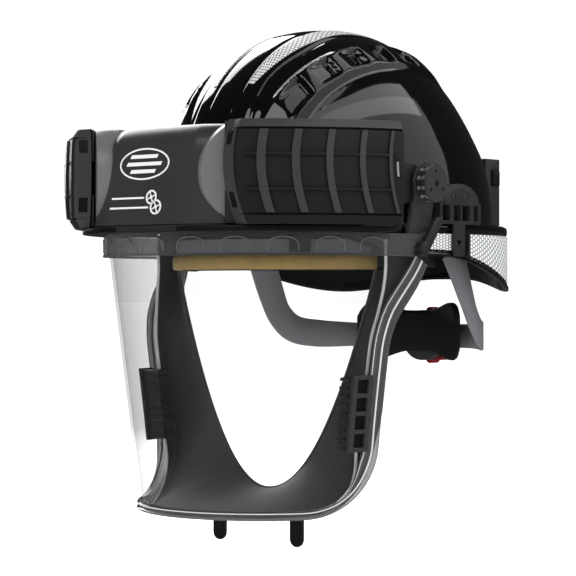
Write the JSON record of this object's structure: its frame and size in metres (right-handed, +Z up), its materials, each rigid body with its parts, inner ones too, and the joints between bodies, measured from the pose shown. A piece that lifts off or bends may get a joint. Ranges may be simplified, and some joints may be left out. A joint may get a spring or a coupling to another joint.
{
  "type": "powered air respirator",
  "caption": "Hard hat with a brow-mounted twin fan and filter unit, flip-up clear visor with face seal, size-adjusting harness and rear battery.",
  "frame": {"origin": "middle of the head opening, level with the shell's rim beside the visor", "axes": "+Z up towards the crown, -Y the way the wearer looks, +X towards the wearer's left"},
  "size_m": [0.2888, 0.3556, 0.3601],
  "materials": {
    "gloss_shell": "polished",
    "satin_black": "satin",
    "cover_black": "textured",
    "grey_plastic": "satin",
    "red_plastic": "satin",
    "rubber_black": "matt",
    "seal_fabric": "woven",
    "webbing": "woven",
    "foam": "open cell",
    "filter_paper": "pleated",
    "battery_cell": "shrink sleeve",
    "circuit_board": "lacquered",
    "reflective_sheet": "retroreflective",
    "clear": "polished",
    "steel": "turned"
  },
  "bodies": {
    "helmet": {"helmet_shell": "gloss_shell", "left_crown_decal": "reflective_sheet", "right_crown_decal": "reflective_sheet", "left_skirt_decal": "reflective_sheet", "right_skirt_decal": "reflective_sheet", "left_accessory_cover": "satin_black", "right_accessory_cover": "satin_black", "headband": "grey_plastic", "sweatband": "foam", "brow_seal": "foam", "crown_cradle": "webbing", "harness_key_front_left": "satin_black", "harness_key_front_right": "satin_black", "harness_key_rear_left": "satin_black", "harness_key_rear_right": "satin_black", "battery_cradle": "satin_black", "power_lead": "rubber_black", "left_pivot_bolt": "steel", "right_pivot_bolt": "steel"},
    "nape_unit": {"left_nape_arm": "grey_plastic", "right_nape_arm": "grey_plastic", "nape_pad": "rubber_black", "ratchet_housing": "satin_black"},
    "ratchet_wheel": {"size_wheel": "red_plastic"},
    "battery_pack": {"battery_case": "satin_black", "battery_lid": "satin_black", "battery_cell_lower": "battery_cell", "battery_cell_upper": "battery_cell", "status_lens": "clear"},
    "battery_power_button": {"power_button": "rubber_black"},
    "battery_latch_left": {"left_battery_latch": "red_plastic"},
    "battery_latch_right": {"right_battery_latch": "red_plastic"},
    "front_unit": {"power_housing": "satin_black", "housing_rear_cover": "satin_black", "control_board": "circuit_board", "base_plate": "satin_black", "left_fan_housing": "satin_black", "right_fan_housing": "satin_black", "left_fan_motor": "steel", "right_fan_motor": "steel", "left_filter_case": "satin_black", "right_filter_case": "satin_black", "left_filter_element": "filter_paper", "right_filter_element": "filter_paper", "visor_lens": "clear", "left_exhale_vent": "satin_black", "right_exhale_vent": "satin_black", "visor_rim": "clear", "face_seal": "seal_fabric", "left_chin_tab": "rubber_black", "right_chin_tab": "rubber_black", "visor_band": "clear"},
    "fan_left": {"left_fan_rotor": "grey_plastic"},
    "fan_right": {"right_fan_rotor": "grey_plastic"},
    "cover_left": {"left_filter_cover": "cover_black"},
    "cover_right": {"right_filter_cover": "cover_black"},
    "latch_left": {"left_visor_latch": "satin_black"},
    "latch_right": {"right_visor_latch": "satin_black"},
    "knob_left": {"left_pivot_knob": "satin_black"},
    "knob_right": {"right_pivot_knob": "satin_black"}
  },
  "joints": [
    {"name": "front_flip", "type": "hinge", "parent": "helmet", "child": "front_unit", "pos_m": [0, -0.036, 0.0305], "axis": [-1, 0, 0], "range_deg": [0, 50]},
    {"name": "left_fan_spin", "type": "hinge", "parent": "front_unit", "child": "fan_left", "pos_m": [0.05682, -0.14822, 0.0342], "axis": [0.6593, -0.7519, 0], "continuous": true},
    {"name": "right_fan_spin", "type": "hinge", "parent": "front_unit", "child": "fan_right", "pos_m": [-0.05682, -0.14822, 0.0342], "axis": [-0.6593, -0.7519, 0], "continuous": true},
    {"name": "left_cover_hinge", "type": "hinge", "parent": "front_unit", "child": "cover_left", "pos_m": [0.12994, -0.09289, 0.0342], "axis": [0, 0, 1], "range_deg": [0, 70]},
    {"name": "right_cover_hinge", "type": "hinge", "parent": "front_unit", "child": "cover_right", "pos_m": [-0.12994, -0.09289, 0.0342], "axis": [0, 0, -1], "range_deg": [0, 70]},
    {"name": "left_latch_turn", "type": "hinge", "parent": "front_unit", "child": "latch_left", "pos_m": [0.1175, -0.048, -0.013], "axis": [-1, 0, 0], "range_deg": [0, 50]},
    {"name": "right_latch_turn", "type": "hinge", "parent": "front_unit", "child": "latch_right", "pos_m": [-0.1175, -0.048, -0.013], "axis": [-1, 0, 0], "range_deg": [0, 50]},
    {"name": "left_knob_turn", "type": "hinge", "parent": "helmet", "child": "knob_left", "pos_m": [0.1168, -0.036, 0.0305], "axis": [1, 0, 0], "range_deg": [0, 90]},
    {"name": "right_knob_turn", "type": "hinge", "parent": "helmet", "child": "knob_right", "pos_m": [-0.1168, -0.036, 0.0305], "axis": [-1, 0, 0], "range_deg": [0, 90]},
    {"name": "nape_slide", "type": "slide", "parent": "helmet", "child": "nape_unit", "axis": [0, -1, 0], "range_m": [-0.006, 0.01]},
    {"name": "wheel_turn", "type": "hinge", "parent": "nape_unit", "child": "ratchet_wheel", "pos_m": [0, 0.125, -0.0755], "axis": [0, 1, 0], "range_deg": [-43, 72]},
    {"name": "battery_slide", "type": "slide", "parent": "helmet", "child": "battery_pack", "axis": [0, 1, 0], "range_m": [0, 0.03]},
    {"name": "power_press", "type": "slide", "parent": "battery_pack", "child": "battery_power_button", "axis": [0, -1, 0], "range_m": [0, 0.0012], "stiffness_N_per_m": 400},
    {"name": "left_battery_latch_press", "type": "slide", "parent": "battery_pack", "child": "battery_latch_left", "axis": [-1, 0, 0], "range_m": [0, 0.0018], "stiffness_N_per_m": 400},
    {"name": "right_battery_latch_press", "type": "slide", "parent": "battery_pack", "child": "battery_latch_right", "axis": [1, 0, 0], "range_m": [0, 0.0018], "stiffness_N_per_m": 400}
  ],
  "couplings": [
    {"joint": "wheel_turn", "follows": "nape_slide", "rad_per_m": 125}
  ]
}
